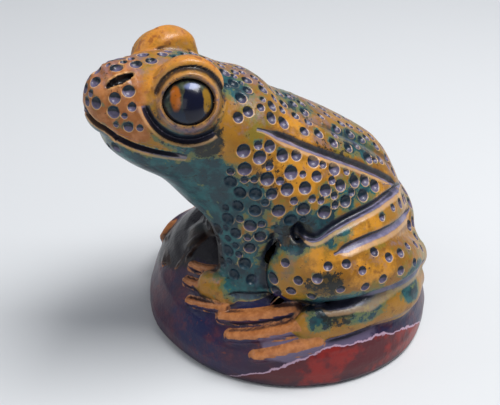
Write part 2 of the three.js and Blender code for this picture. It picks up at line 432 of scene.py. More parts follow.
# The seams pressed in between the forms: the line, its depth and its width
GROOVES = {
    "dorsal": ([on(skull, 0, 20), *run(trunk, (0.95, 0.2), (36, 44, 50))], 1.5, 1.35),
    "spine": (run(trunk, (0.85, 0.25), (66, 62)), 0.6, 1.5),
    "thigh_top": ([POCKET, *run(thigh, (0.88, 0.1), (70, 66, 78))], 1.6, 1.35),
    "knee": (run(thigh, (0.82, 0.05), (14, 8)), 1.4, 1.3),
    "shin": (run(shank, (1, 0.08), (-52, -40, -14, 0)), 1.3, 1.4),
    "elbow": (run(arm, (0.34, 0.98), (34, 24)), 0.8, 1.9),
    "wrist": (run(arm, (1, 1), (5, 115)), 0.8, 1.1),
    "sole": (run(foot, (1, 0.15), (-42, -40, -28)), 0.9, 1.3),
}
MOUTH_SAG = 2.4  # how far the lips dip below the plane from their front to their corner


def lips(count=11):
    """Where the mouth's plane leaves the clay, from the middle of the lips to their corner."""
    (y0, z0), (y1, z1) = MOUTH_FRONT, MOUTH_CORNER
    found = []
    for share in np.linspace(0, 1, count):
        turn = share * math.pi / 2
        reach = np.arange(4, 26, 0.1)
        y = y1 - reach * math.cos(turn)
        z = z1 + (y - y1) * (z0 - z1) / (y0 - y1) - MOUTH_SAG * math.sin(math.pi * share**0.8)
        ray = np.stack([reach * math.sin(turn), y, z], 1)
        found.append(ray[np.argmax(clay(ray) > 0)])
    return np.array(found)


MOUTH = lips()
SNOUT = np.array([5.6, -51, 83.4])  # middle of the nostril, which runs up the snout
NOSTRIL = [SNOUT + t * np.array([0.3, 2.8, 1.1]) for t in (-1, -0.3, 0.4, 1)]
# Opening of the lids: half-width, half-height
OPENING = (0.85 * EYE_R, 0.76 * EYE_R)


def bag_radius(angle):
    """The groove under the eye: closest below, and opening out towards both ends."""
    return EYE_R + 1.7 + 1.7 * ((angle + 80) / 90) ** 2


def brow_radius(angle):
    """The groove over the eye, which leaves the lid a little towards the back."""
    return EYE_R + 0.4 + 1.1 * smoothstep(30, 180, angle)


def bump(x, centre, width):
    return np.exp(-(((x - centre) / width) ** 2))


class Cut:
    """A line pressed into the clay's left side. Each point near it gets its place across, above
    and along the line."""

    def __init__(self, rows, samples=0, upward=(0.2, 0, 1)):
        self.line = smooth_curve(rows, samples or 6 * len(rows))
        self.line, self.normal = settle(clay, self.line, 3)
        tangent = unit(np.gradient(self.line, axis=0))
        self.side = unit(np.cross(self.normal, tangent))
        self.side *= np.sign(self.side @ np.asarray(upward))[:, None]
        self.low, self.high = self.line.min(0), self.line.max(0)

    def place(self, p, reach):
        """Indices of the near points, and their side, height and share of the length."""
        near = np.flatnonzero(within(p, self.low, self.high, reach))
        q = p[near]
        gap, at = nearest(q, self.line)
        keep = gap < reach
        near, q, at = near[keep], q[keep], at[keep]
        away = q - along(self.line, at)
        u = np.einsum("ij,ij->i", away, unit(along(self.side, at)))
        v = np.einsum("ij,ij->i", away, unit(along(self.normal, at)))
        length = np.sqrt(np.maximum((away**2).sum(1) - u**2 - v**2, 0))
        return near, u, v, at / (len(self.line) - 1), length


def eye_rings(p):
    """What the lids add to the clay round the eye, and how far inside their opening p is."""
    rho, angle, out = eye_polar(p)
    q = p - EYE
    inside = np.hypot(q @ EYE_FORE / OPENING[0], q @ EYE_UP / OPENING[1])
    lower = smoothstep(6, -16, angle) + smoothstep(168, 178, angle)
    upper = smoothstep(4, 26, angle) * smoothstep(182, 168, angle)
    bag = bag_radius(angle)
    brow_at = brow_radius(angle)
    low_end = smoothstep(2, -10, angle) * smoothstep(-138, -118, angle)
    raised = lower * (0.5 * bump(rho, 7.0, 0.65) + 0.35 * bump(rho, bag - 1.35, 0.6))
    raised += low_end * (0.5 * bump(rho, bag + 1.7, 0.9))
    raised -= low_end * 1.5 * np.where(rho < bag, bump(rho, bag, 0.5), bump(rho, bag, 0.9))
    brow_rolls = 0.55 * bump(rho, brow_at - 1.5, 0.75) + 0.85 * bump(rho, brow_at + 2.1, 1.35)
    brow_crease = np.where(rho > brow_at, bump(rho, brow_at, 0.45), bump(rho, brow_at, 0.7))
    raised += upper * brow_rolls
    raised -= upper * 0.55 * brow_crease
    return raised * smoothstep(-3.5, -0.5, out), (inside - 1) * 5.9, out


class Pits:
    """Round bowls pressed all over the skin with a ball tool."""

    def __init__(self, centres, normals, radii):
        order = np.argsort(centres[:, 0])
        self.centres, self.normals, self.radii = centres[order], normals[order], radii[order]
        self.depths = self.radii * 0.6

    def nearby(self, points, reach):
        """(pit, indices of the points within reach of it), for every pit."""
        order = np.argsort(points[:, 0])
        x = points[order, 0]
        for i, c in enumerate(self.centres):
            r = self.radii[i] * reach
            some = order[np.searchsorted(x, c[0] - r) : np.searchsorted(x, c[0] + r)]
            q = points[some]
            some = some[(np.abs(q[:, 1] - c[1]) < r) & (np.abs(q[:, 2] - c[2]) < r)]
            yield i, some

    def cut(self, points, d):
        for i, some in self.nearby(points, 1.5):
            r, h = self.radii[i], self.depths[i]
            ball = (r * r + h * h) / (2 * h)
            centre = self.centres[i] + self.normals[i] * (ball - h)
            gap = np.linalg.norm(points[some] - centre, axis=1) - ball
            d[some] = carve(d[some], gap, 0.22)
        return d


class Skin:
    """The finished surface: the clay with everything that is cut into it."""

    def __init__(self):
        self.cuts = {name: Cut(rows) for name, (rows, _, _) in GROOVES.items()}
        self.mouth = Cut(MOUTH, upward=(0, 0.3, 1))
        self.nostril = Cut(NOSTRIL, upward=(-0.5, 0, 1))
        self.pits = None

    def slot(self, p, d, cut, wide, deep, soft):
        near, u, v, share, length = cut.place(p, 5)
        ends = smoothstep(0, 0.08, share) * smoothstep(1.0, 0.9, share) if cut is self.mouth else 1
        half, depth = wide(share), deep(share) * np.maximum(ends, 0.05)
        hole = (np.sqrt((u / half) ** 2 + (v / depth) ** 2 + (length / half) ** 2) - 1) * half
        d[near] = carve(d[near], hole, soft)
        return d

    def details(self, points, d):
        """d is the clay's distance at the points, which lie near its surface."""
        p = fold(points)
        d = d.copy()
        for name, cut in self.cuts.items():
            _, depth, width = GROOVES[name]
            near, u, v, share, length = cut.place(p, 5)
            shape = np.where(u > 0, bump(u, 0, 0.6 * width), bump(u, 0, 1.0 * width))
            lips = 0.16 * bump(u, -2.2 * width, 0.7 * width)
            lips += 0.1 * bump(u, 1.5 * width, 0.6 * width)
            ends = smoothstep(0, 0.1, share) * smoothstep(1, 0.9, share) * bump(length, 0, 1.2)
            d[near] += ends * bump(v, 0, 4) * (depth * shape - lips)
        near = np.flatnonzero(np.linalg.norm(p - EYE, axis=1) < 15)
        raised, opening, out = eye_rings(p[near])
        local = d[near] - raised
        socket = np.maximum(opening, 1.5 - out)
        d[near] = carve(local, socket, 0.7)
        d = self.slot(p, d, self.mouth,
                      lambda t: 0.55 + 0.85 * (1 - t) ** 2, lambda t: 3.4 - 2.3 * t, 0.4)
        d = self.slot(p, d, self.nostril,
                      lambda t: 0.55 + 0.6 * np.sin(math.pi * t), lambda t: 1.7 + 0 * t, 0.3)
        pocket = np.linalg.norm((p - POCKET) / (1.2, 0.8, 1.5), axis=1) - 1.6
        d = carve(d, pocket, 1.5)
        if self.pits:
            d = self.pits.cut(points, d)
        return d


HOLLOW = [
    (0, -4), (36.8, -4), (36.8, 3), (35.8, 9), (33.6, 13.5), (31, 16.4), (27.5, 18.8),
    (22, 20.2), (13.6, 20.6), (13, 21.2), (13, 29), (0, 29),
]
hollow_turned = Lathe(HOLLOW)


def hollow(points):
    """The inside of the fired clay: open below, through the crown, and up into the trunk."""
    up = np.maximum(trunk(fold(points)) + 6.5, 27.5 - points[:, 2])
    return blend(hollow_turned(points.astype(np.float32)), up, 1.0)


def pit_size(p, normal, name):
    """The ball tool's radius at places on the left side, or 0 where the skin has no pits."""
    rho, angle, out = eye_polar(p)
    size = np.zeros(len(p))
    body = np.isin(name, ["trunk_shell", "foreleg"])
    apart = np.full(len(p), 2.62)
    size[body] = 1.68
    upper = body & ((normal[:, 2] > 0.72) | (p[:, 0] < 12)) & (p[:, 2] > 45)
    size[upper], apart[upper] = 1.35, 3.0
    size[(name == "foreleg") & (p[:, 0] < 14)] = 1.3
    head = name == "head"
    size[head & (normal[:, 2] > -0.1)] = 1.5
    apart[head] = 2.6
    size[(name == "thigh") & (p[:, 1] > 0)] = 1.05
    size[(name == "thigh") & (p[:, 2] > 43)] = 0
    apart[name == "thigh"] = 3.8
    size[name == "shank"] = 1.3
    apart[name == "shank"] = 3.7
    size[(rho < 13.2) & (out > -5.5)] = 0
    size[head & (p[:, 2] < 73.5) & (p[:, 1] > -52)] = 0
    size[(name == "foreleg") & (normal[:, 0] < 0.05) & (p[:, 1] > -30)] = 0
    size[(name == "shank") & (p[:, 2] < 25.5)] = 0
    size[body & (normal[:, 2] < -0.5) & (p[:, 1] < -20)] = 0
    return size, apart


def plan_pits(skin, points, normals, names):
    """Throws the pits on the surface, at a seeded random, as close together as a row allows."""
    rng = np.random.default_rng(SEED)
    p = fold(points)
    normal = normals.copy()
    normal[:, 0] *= np.where(points[:, 0] < 0, -1, 1)
    size, apart = pit_size(p, normal, names)
    open_air = clay(points + normals * 2.6) / 2.6
    size[open_air < 0.9] = 0
    size[hollow(points) < 4] = 0
    for cut in [*skin.cuts.values(), skin.mouth, skin.nostril]:
        near, u, v, share, length = cut.place(p, 5)
        clear = 3.4 if cut is not skin.cuts["spine"] else 1.6
        size[near[np.hypot(u, length) < clear]] = 0
    chosen, radii = [], []
    places = np.flatnonzero(size > 0)
    rng.shuffle(places)
    spots = np.zeros((0, 3))
    for tight, scale in ((1.0, 1.0), (0.9, 0.94), (0.84, 0.62)):
        for i in places:
            r = size[i] * scale
            if scale < 0.9 and (apart[i] > 2.7 or rng.uniform() < 0.6):
                continue
            if len(chosen):
                away = np.linalg.norm(spots[: len(chosen)] - points[i], axis=1)
                if (away < (r + np.array(radii)) * apart[i] * tight / 2).any():
                    continue
            chosen.append(i)
            radii.append(r)
            if len(chosen) > len(spots):
                spots = np.vstack([spots, np.zeros((256, 3))])
            spots[len(chosen) - 1] = points[i]
    uneven = np.where(names[chosen] == "head", 0.72, 0.9)
    radii = np.array(radii) * rng.uniform(uneven, 1.07)
    return Pits(points[chosen], normals[chosen], radii)


# ---------------------------------------------------------------- meshing

LOW = np.array([-46.0, -62.4, -2.4])
HIGH = np.array([46.0, 47.2, 92.0])
COARSE, MIDDLE = 1.6, 0.8


def grid_points(index, voxel):
    return (LOW + index * voxel).astype(np.float32)


def refine(dense, old, new):
    """A grid's values on a finer grid."""
    shape = np.ceil((HIGH - LOW) / new).astype(int) + 1
    for axis in range(3):
        at = np.arange(shape[axis]) * new / old
        i = np.minimum(at.astype(int), dense.shape[axis] - 2)
        f = (at - i).reshape([-1 if a == axis else 1 for a in range(3)]).astype(np.float32)
        dense = np.take(dense, i, axis) * (1 - f) + np.take(dense, i + 1, axis) * f
    return dense


def fill(dense, voxel, band, field):
    """Works the field out again at the grid's points near the surface."""
    near = np.argwhere(np.abs(dense) < band)
    for start in range(0, len(near), 300000):
        chunk = near[start : start + 300000]
        at = tuple(chunk.T)
        dense[at] = field(grid_points(chunk, voxel), dense[at])
    return dense


def mesh_of(dense, voxel):
    grid = openvdb.FloatGrid(background=5.0)
    grid.copyFromArray(dense)
    points, quads = grid.convertToQuads(0.0)
    return points * voxel + LOW, quads.astype(np.int64)


def look_up(dense, voxel, points):
    """Trilinear values of a grid."""
    at = np.clip((points - LOW) / voxel, 0, np.array(dense.shape) - 1.001)
    i = at.astype(int)
    f = (at - i).astype(np.float32)
    out = 0
    for corner in range(8):
        step = np.array([corner >> 2 & 1, corner >> 1 & 1, corner & 1])
        weight = np.prod(np.where(step, f, 1 - f), axis=1)
        j = i + step
        out = out + weight * dense[j[:, 0], j[:, 1], j[:, 2]]
    return out


coarse_shape = np.ceil((HIGH - LOW) / COARSE).astype(int) + 2
coarse = clay(grid_points(np.indices(coarse_shape).reshape(3, -1).T, COARSE))
middle = refine(coarse.reshape(coarse_shape).astype(np.float32), COARSE, MIDDLE)
middle = fill(middle, MIDDLE, 4.5, lambda p, d: clay(p))

NAMES = ["trunk_shell", "head", "lower_jaw", "foreleg", "palm", "thigh", "shank", "foot", "mound"]
NAMES += [f"finger_{i}" for i in (1, 2, 3)] + [f"toe_{i}" for i in (1, 2, 3)]
skin = Skin()


def names_at(points):
    """Which clay piece each point belongs to, before left and right."""
    found = parts(fold(points), points)
    for i in (1, 2, 3):
        found[f"finger_{i}"] = found[f"finger_{i}"] - 0.3
        found[f"toe_{i}"] = found[f"toe_{i}"] - 0.3
    gaps = np.stack([found[name] for name in NAMES], 1)
    return np.array(NAMES)[gaps.argmin(1)], gaps


points, quads = mesh_of(middle, MIDDLE)
points, normals = settle(clay, points, 1)
skin.pits = plan_pits(skin, points, normals, names_at(points)[0])


# The inside is worked out on the middle grid, and joined to the outside on the fine one
inner = fill(np.full(middle.shape, 9.0, np.float32), MIDDLE, 10, lambda p, d: hollow(p))


def surface(points):
    outside = skin.details(points, look_up(middle, MIDDLE, points))
    return np.maximum(outside, -look_up(inner, MIDDLE, points))


dense = refine(middle, MIDDLE, VOXEL)
dense = fill(dense, VOXEL, 2.6 + VOXEL, skin.details)
dense = np.maximum(dense, -refine(inner, MIDDLE, VOXEL))
points, quads = mesh_of(dense, VOXEL)
points, normals = settle(surface, points, 1)
in_hollow = look_up(inner, MIDDLE, points) < 0.6

# ---------------------------------------------------------------- what the glazes follow


def region(p, centre, radii):
    """A soft brush dab: 1 in its middle, 0 beyond its edge."""
    gap = np.linalg.norm((p - np.asarray(centre)) / np.asarray(radii, float), axis=1)
    return smoothstep(1.0, 0.35, gap)


def dabbed(p, dabs):
    """How strongly the strongest of some dabs covers each point."""
    cover = np.zeros(len(p))
    for centre, radii, strength in dabs:
        cover = np.maximum(cover, strength * region(p, centre, radii))
    return cover


def glaze_masks(points, normals):
    """Per point, the numbers that the materials read."""
    p = fold(points)
    n = normals.copy()
    n[:, 0] *= np.where(points[:, 0] < 0, -1, 1)
    gaps = names_at(points)[1]
    body = gaps[:, : NAMES.index("mound")].min(1)
    ground = gaps[:, NAMES.index("mound")]
    masks = {}
    masks["on_mound"] = smoothstep(-0.7, 0.7, body - ground)
    digit = gaps[:, NAMES.index("mound") + 1 :].min(1)
    masks["on_digit"] = smoothstep(0.75, 0.05, digit) * smoothstep(-0.2, 0.35, n[:, 2])
    rho, angle, out = eye_polar(p)
    eye = smoothstep(-4, -1, out)

    # Across the pits: 0 in the middle, 1 at the rim; and which wall
    pit = np.full(len(p), 2.0, np.float32)
    wall = np.zeros(len(p), np.float32)
    tone = np.zeros(len(p), np.float32)
    tones = np.random.default_rng(SEED + 5).uniform(0, 1, len(skin.pits.radii))
    for i, some in skin.pits.nearby(points, 2.0):
        q = points[some] - skin.pits.centres[i]
        axis = skin.pits.normals[i]
        rise = np.array([0, 0, 1]) - axis[2] * axis + np.array([0.02, 0.02, 0])
        q -= (q @ axis)[:, None] * axis
        t = np.linalg.norm(q, axis=1) / skin.pits.radii[i]
        closer = t < pit[some]
        pit[some[closer]] = t[closer]
        tone[some[closer]] = tones[i]
        wall[some[closer]] = (q[closer] @ unit(rise)) / skin.pits.radii[i]
    masks["pit"], masks["pit_wall"], masks["pit_tone"] = pit, wall, tone

    # Across the grooves: u is above 0 on the steep upper wall
    groove = np.full(len(p), -9.0, np.float32)
    held = np.zeros(len(p), np.float32)
    pooled = np.full(len(p), 0.8, np.float32)
    for groove_name, cut in skin.cuts.items():
        _, depth, width = GROOVES[groove_name]
        near, u, v, share, length = cut.place(p, 5)
        ends = smoothstep(0, 0.12, share) * smoothstep(1, 0.88, share)
        u = u / (width * (0.3 + 0.7 * ends))
        weight = bump(length, 0, 0.8) * min(depth / 1.3, 1) * smoothstep(2.5, 1.9, np.abs(u))
        better = (np.abs(u) < np.abs(groove[near])) & (length < 1.5)
        groove[near[better]] = u[better]
        pooled[near[better]] = POOL_AND_SHEEN.get(groove_name, 0.2)
        held[near[better]] = weight[better]
    bag = bag_radius(angle)
    brow_at = brow_radius(angle)
    bag_end = smoothstep(2, -8, angle) * smoothstep(-134, -122, angle) * eye
    better = (bag_end * smoothstep(2.6, 2.2, np.abs(bag - rho)) > held) & (rho < 13)
    groove[better] = ((bag - rho) / 1.0 - 0.2)[better]
    held[better] = bag_end[better]
    near, u, v, share, length = skin.mouth.place(p, 4)
    groove[near] = np.where(np.abs(u) < 2, u / 0.8, groove[near])
    held[near] = np.maximum(held[near], bump(length, 0, 0.8) * smoothstep(2.2, 1.6, np.abs(u)))
    pooled[near] = 0.7
    near, u, v, share, length = skin.nostril.place(p, 4)
    # painted shade: the nostril darkened inside its slot, most below the surface and away from its
    # lower side
    masks["pitch"] = np.zeros(len(p))
    masks["pitch"][near] = smoothstep(1.3, 0.6, np.hypot(u, length)) * smoothstep(0.8, -0.4, v)
    masks["pitch"][near] *= smoothstep(-0.75, -0.3, u)
    masks["groove"], masks["groove_held"], masks["pooled"] = groove, held, pooled
    brow_on = smoothstep(4, 26, angle) * smoothstep(184, 172, angle) * eye
    masks["brow_groove"] = brow_on * bump(rho, brow_at + 0.1, 0.5) * smoothstep(40, 110, angle)
    masks["brow_ridge"] = brow_on * bump(rho, brow_at + 2.4, 1.5)
    lower = smoothstep(10, -12, angle) * eye
    masks["lid"] = eye * smoothstep(bag - 0.9, bag - 1.5, rho) * (lower + brow_on * (rho < brow_at))
    masks["lid_roll"] = eye * bump(rho, 6.9, 0.75)

    # Open air, hollows and edges, from the distances round each point: they place the painted shade
    # in creases and the painted highlight on crests
    masks["open"] = np.clip(look_up(dense, VOXEL, points + normals * 2.4) / 2.4, 0, 1)
    masks["airy"] = np.clip(look_up(middle, MIDDLE, points + normals * 7) / 7, 0, 1)
    masks["edge"] = np.clip(1 + look_up(dense, VOXEL, points - normals * 0.8) / 0.8, 0, 1)

    # Where the second, darker glaze was brushed, and where painted shade and a painted highlight go
    teal = 0.95 * smoothstep(0.1, -0.5, n[:, 2]) * smoothstep(30, 44, p[:, 2])
    teal = np.maximum(teal, dabbed(p, TEAL))
    masks["teal"] = teal * (1 - masks["on_mound"])
    # painted shade over the hollow between the arms and the hidden right hand
    masks["shade"] = dabbed(points, SHADE)
    masks["dark"] = dabbed(p, DARK)
    masks["warm"] = dabbed(p, WARM)
    masks["snout"] = smoothstep(-43, -50, p[:, 1]) * smoothstep(66, 72, p[:, 2])
    masks["upward"] = np.clip(n[:, 2], 0, 1)
    edge = BARE_TOP * (1 - (p[:, 1] / BARE_HALF) ** 2)
    masks["red"] = np.where(points[:, 0] > 20, np.clip(edge - p[:, 2], -3, 3), -3.0)
    # painted highlight: a pale lavender band on the glossy mound, near the left toes
    masks["pale_band"] = region(p, toes[2].line[0, :3], (14, 26, 8)) * (points[:, 0] > 0)
    masks["valley"] = region(p, web.centre + [2.5, 0, 2], (5, 6, 10))
    masks["height"] = p[:, 2] / 10
    masks["inside"] = in_hollow.astype(float)
    return masks


# How much lavender shows on each groove's floor: partly glaze gathered there, partly a painted
# reflection of the sky
POOL_AND_SHEEN = {"dorsal": 0.9, "thigh_top": 1.0, "knee": 1.0, "spine": 0.4, "elbow": 0.15,
          "sole": 0.3, "shin": 0.75}
# Dabs of glaze: where, how far each way, how strong
TEAL = [
    (on(arm, 0.2, 110), (10, 13, 15), 1.0),
    (on(arm, 0.55, 115), (7, 8, 18), 1.0),
    (on(arm, 0.9, 75), (11, 11, 9), 0.95),
    (POCKET, (11, 11, 9), 0.9),
    (on(thigh, 0.8, 65), (9, 12, 6), 0.75),
    (on(shank, 0.75, -40), (9, 20, 5.5), 0.95),
    (on(shank, 0.3, -10), (8, 14, 5.5), 0.85),
    (on(shank, 1, -45), (8, 7, 7), 0.85),
    (on(foot, 1, 35), (6, 5, 4), 0.85),
    (on(foot, 0.66, 20), (6, 9, 4), 0.75),
    (on(foot, 0.33, 35), (6, 9, 4.5), 0.8),
    (on(skull, 0.1, 60), (7, 8, 7), 0.75),
    (on(skull, 0.15, -35), (10, 10, 9), 0.95),
    (on(arm, 0.2, 70), (8, 8, 10), 0.7),
    (on(throat, 0.4, -10), (7, 8, 4.5), 0.8),
    (on(arm, 0.45, 45), (9, 8, 12), 0.5),
    (on(arm, 0.7, 50), (9, 8, 9), 0.6),
    (on(trunk, 0.5, 22), (8, 16, 7), 0.5),
    (on(trunk, 0.5, 62), (9, 16, 8), 0.5),
    (on(skull, 0.25, 90), (7, 12, 6), 0.5),
    (on(trunk, 0.85, 78), (9, 14, 6), 0.45),
]
DARK = [
    (on(skull, 0.2, 0), (7, 7, 8), 1.0),
    (on(skull, 0.25, 30), (5, 6, 6), 0.9),
    (on(arm, 0, 50), (8, 9, 10), 0.6),
    (POCKET, (6, 7, 6), 0.9),
    (on(shank, 0.95, 10), (9, 8, 6), 0.9),
    (on(skull, 0.35, -10), (6, 6, 3), 0.6),
    (on(foot, 0.85, 30), (6, 7, 4), 0.8),
    (on(trunk, 0.66, 45), (8, 18, 5), 0.5),
]
WARM = [
    (on(thigh, 0.95, 20), (8, 8, 6), 0.9),
    (on(trunk, 0.85, 15), (10, 15, 8), 1.0),
    (on(trunk, 0.9, 48), (9, 12, 7), 0.8),
    (on(thigh, 0.6, 25), (8, 18, 5), 0.7),
    (on(shank, 0.6, 25), (8, 18, 6), 0.8),
    (on(arm, 0.35, 25), (6, 6, 7), 0.7),
    (on(skull, 0.6, 20), (8, 8, 7), 0.6),
    (on(trunk, 0.4, 40), (8, 12, 8), 0.5),
]
# Painted shade over whole areas: the hollow between the arms, and the hidden right hand
RIGHT = np.array([-1, 1, 1])
SHADE = [
    (on(arm, 0.8, 90) * [0, 1, 1], (15, 9, 14), 1.0),
    (on(arm, 0.65, 150), (6, 6, 14), 0.9),
    (palm.line[0, :3] * RIGHT, (17, 17, 19), 1.0),
    (palm.line[-1, :3] * RIGHT, (20, 13, 12), 1.0),
    (on(arm, 0.7, 60) * RIGHT, (15, 14, 18), 1.0),
]
# The bare red patch low on the left of the mound, widest in its middle
BARE_TOP, BARE_HALF = 12, 33

masks = glaze_masks(points, normals)

# ---------------------------------------------------------------- parting into pieces


def components(pairs, count):
    root = np.arange(count)
    while True:
        least = np.minimum(root[pairs[:, 0]], root[pairs[:, 1]])
        new = root.copy()
        np.minimum.at(new, root[pairs[:, 0]], least)
        np.minimum.at(new, root[pairs[:, 1]], least)
        new = new[new]
        new = new[new]
        if (new == root).all():
            return root
        root = new


def face_pairs(faces):
    """Pairs of faces that share an edge."""
    a = faces.ravel()
    b = np.roll(faces, -1, 1).ravel()
    key = np.minimum(a, b) * (len(points) + 1) + np.maximum(a, b)
    order = np.argsort(key, kind="stable")
    same = key[order][1:] == key[order][:-1]
    owner = order // faces.shape[1]
    return np.stack([owner[:-1][same], owner[1:][same]], 1)


def label_faces():
    centre = points[quads].mean(1)
    name, _ = names_at(centre)
    p = fold(centre)
    name = name.astype("U20")
    rho, angle, out = eye_polar(p)
    inner_face = in_hollow[quads].sum(1) >= 2
    below_mouth = np.interp(p[:, 1], *np.array(MOUTH)[:, 1:].T) > p[:, 2]
    jaw_side = np.isin(name, ["head", "lower_jaw"]) & (p[:, 1] < -39)
    name[jaw_side] = np.where(below_mouth[jaw_side], "lower_jaw", "head")
    bag = bag_radius(angle)
    brow_at = brow_radius(angle)
    lid = (out > -1) & (name != "trunk_shell") & ~inner_face
    name[lid & (angle <= 8) & (rho < bag - 0.2)] = "lower_lid"
    name[lid & (angle > 8) & (rho < brow_at)] = "upper_lid"
    name[inner_face] = np.where(centre[inner_face, 2] > 26, "trunk_shell", "mound")
    is_mound = name == "mound"
    name[is_mound] = np.where(centre[is_mound, 2] < CROWN_Z, "base_wall", "base_crown")
    for i, side in ((1, "left"), (-1, "right")):
        paired = ~np.isin(name, ["trunk_shell", "head", "lower_jaw", "base_wall", "base_crown"])
        here = paired & (centre[:, 0] * i > 0) & ~np.char.endswith(name, "left")
        for old in np.unique(name[here]):
            stem, _, number = old.partition("_") if old[-1].isdigit() else (old, "", "")
            name[here & (name == old)] = f"{stem}_{side}_{number}" if number else f"{old}_{side}"
    return name


labels = label_faces()
pairs = face_pairs(quads)
for _ in range(6):  # small islands go to the piece around them
    kinds, code = np.unique(labels, return_inverse=True)
    same = pairs[code[pairs[:, 0]] == code[pairs[:, 1]]]
    root = components(same, len(quads))
    size = np.bincount(root, minlength=len(quads))[root]
    largest = np.zeros(len(kinds), int)
    np.maximum.at(largest, code, size)
    small = size < np.minimum(largest[code] * 0.2, 1500)
    if not small.any():
        break
    both = np.vstack([pairs, pairs[:, ::-1]])
    edge = both[small[both[:, 0]] & ~small[both[:, 1]]]
    labels[edge[:, 0]] = labels[edge[:, 1]]
kinds, code = np.unique(labels, return_inverse=True)


def to_row(p):
    return (p + ORIGIN) / 1000


def closed_piece(faces):
    """Vertex positions, normals, source vertices and faces of a piece, closed under its edges."""
    used, local = np.unique(faces, return_inverse=True)
    local = local.reshape(faces.shape)
    count = len(used)
    a, b = local.ravel(), np.roll(local, -1, 1).ravel()
    key, back = a * count + b, b * count + a
    rim = ~np.isin(key, back)
    onward = {}
    for s, e in zip(a[rim], b[rim]):
        onward.setdefault(int(s), []).append(int(e))
    where, turned, source = [points[used]], [normals[used]], [used]
    out = [tuple(f) for f in local.tolist()]
    while onward:
        start = next(iter(onward))
        loop, at = [start], start
        while True:
            step = onward[at].pop()
            if not onward[at]:
                del onward[at]
            if step == start:
                break
            loop.append(step)
            at = step
        base, m = count, len(loop)
        here, facing = points[used[loop]], normals[used[loop]]
        depth = here - facing * 0.9
        hub = depth.mean(0) - unit(facing.sum(0) + 1e-6)
        where += [depth, hub[None]]
        turned += [facing, unit(facing.sum(0) + 1e-6)[None]]
        source += [used[loop], used[loop[:1]]]
        for j in range(m):
            k = (j + 1) % m
            out.append((loop[k], loop[j], base + j, base + k))
            if not in_hollow[used[loop]].any():
                out.append((base + k, base + j, base + m))
        count += m + 1
    return np.vstack(where), np.vstack(turned), np.concatenate(source), out


SLOTS = {"lower_jaw": "throat_glaze", "base_wall": "mound_glaze", "base_crown": "mound_glaze"}


# ---------------------------------------------------------------- glazes


def linear(color):
    c = np.array(color) / 255
    return (*np.where(c < 0.04045, c / 12.92, ((c + 0.055) / 1.055) ** 2.4), 1.0)


class Paint:
    """A node material, written as sums of its sockets. Colours are 0-255, sizes millimetres."""

    def __init__(self, name):
        self.material = bpy.data.materials.new(name)
        self.material.use_nodes = True
        self.tree = self.material.node_tree
        self.shader = self.tree.nodes["Principled BSDF"]
        self.place = self.tree.nodes.new("ShaderNodeTexCoord").outputs["Object"]
        self.seed = 0

    def put(self, socket, value):
        if isinstance(value, bpy.types.NodeSocket):
            self.tree.links.new(value, socket)
        else:
            socket.default_value = linear(value) if isinstance(value, tuple) else value

    def attribute(self, name):
        node = self.tree.nodes.new("ShaderNodeAttribute")
        node.attribute_name = name
        return node.outputs["Fac"]

    def math(self, operation, a, b=0.0, c=0.0):
        node = self.tree.nodes.new("ShaderNodeMath")
        node.operation = operation
        for socket, value in zip(node.inputs, (a, b, c)):
            self.put(socket, value)
        return node.outputs[0]

    def plus(self, first, *rest):
        """first + a1 * k1 + a2 * k2 ... for rest given as (a, k)."""
        for a, k in rest:
            first = self.math("MULTIPLY_ADD", a, k, first)
        return first

    def times(self, *values):
        out = values[0]
        for v in values[1:]:
            out = self.math("MULTIPLY", out, v)
        return out

    def step(self, x, low, high, top=1.0):
        """0 at low, top at high, smoothly; high may be the smaller."""
        node = self.tree.nodes.new("ShaderNodeMapRange")
        node.interpolation_type = "SMOOTHSTEP"
        rising = high > low
        self.put(node.inputs[0], x)
        for socket, value in zip(
            node.inputs[1:5], (low, high, 0.0, top) if rising else (high, low, top, 0.0)
        ):
            socket.default_value = value
        return node.outputs[0]

    def noise(self, size, detail=3.0, roughness=0.55):
        """Noise round 0, about -0.5 to 0.5, new at every call."""
        self.seed += 1
        node = self.tree.nodes.new("ShaderNodeTexNoise")
        node.noise_dimensions = "4D"
        self.put(node.inputs["Vector"], self.place)
        self.put(node.inputs["W"], 3.7 * self.seed)
        self.put(node.inputs["Scale"], 1000.0 / size)
        self.put(node.inputs["Detail"], detail)
        self.put(node.inputs["Roughness"], roughness)
        return self.math("SUBTRACT", node.outputs["Fac"], 0.5)

    def mix(self, share, a, b):
        node = self.tree.nodes.new("ShaderNodeMix")
        node.data_type = "RGBA"
        self.put(node.inputs[0], share)
        self.put(node.inputs[6], a)
        self.put(node.inputs[7], b)
        return node.outputs[2]

    def bump(self, height, distance, strength=1.0):
        node = self.tree.nodes.new("ShaderNodeBump")
        node.inputs["Strength"].default_value = strength
        node.inputs["Distance"].default_value = distance / 1000
        self.put(node.inputs["Height"], height)
        self.put(self.shader.inputs["Normal"], node.outputs[0])

    def finish(self, color, roughness, coat=0.5, coat_roughness=0.06, specular=0.5):
        self.put(self.shader.inputs["Base Color"], color)
        self.put(self.shader.inputs["Roughness"], roughness)
        self.shader.inputs["Coat Weight"].default_value = coat
        self.shader.inputs["Specular IOR Level"].default_value = specular
        self.shader.inputs["Coat Roughness"].default_value = coat_roughness
        return self.material


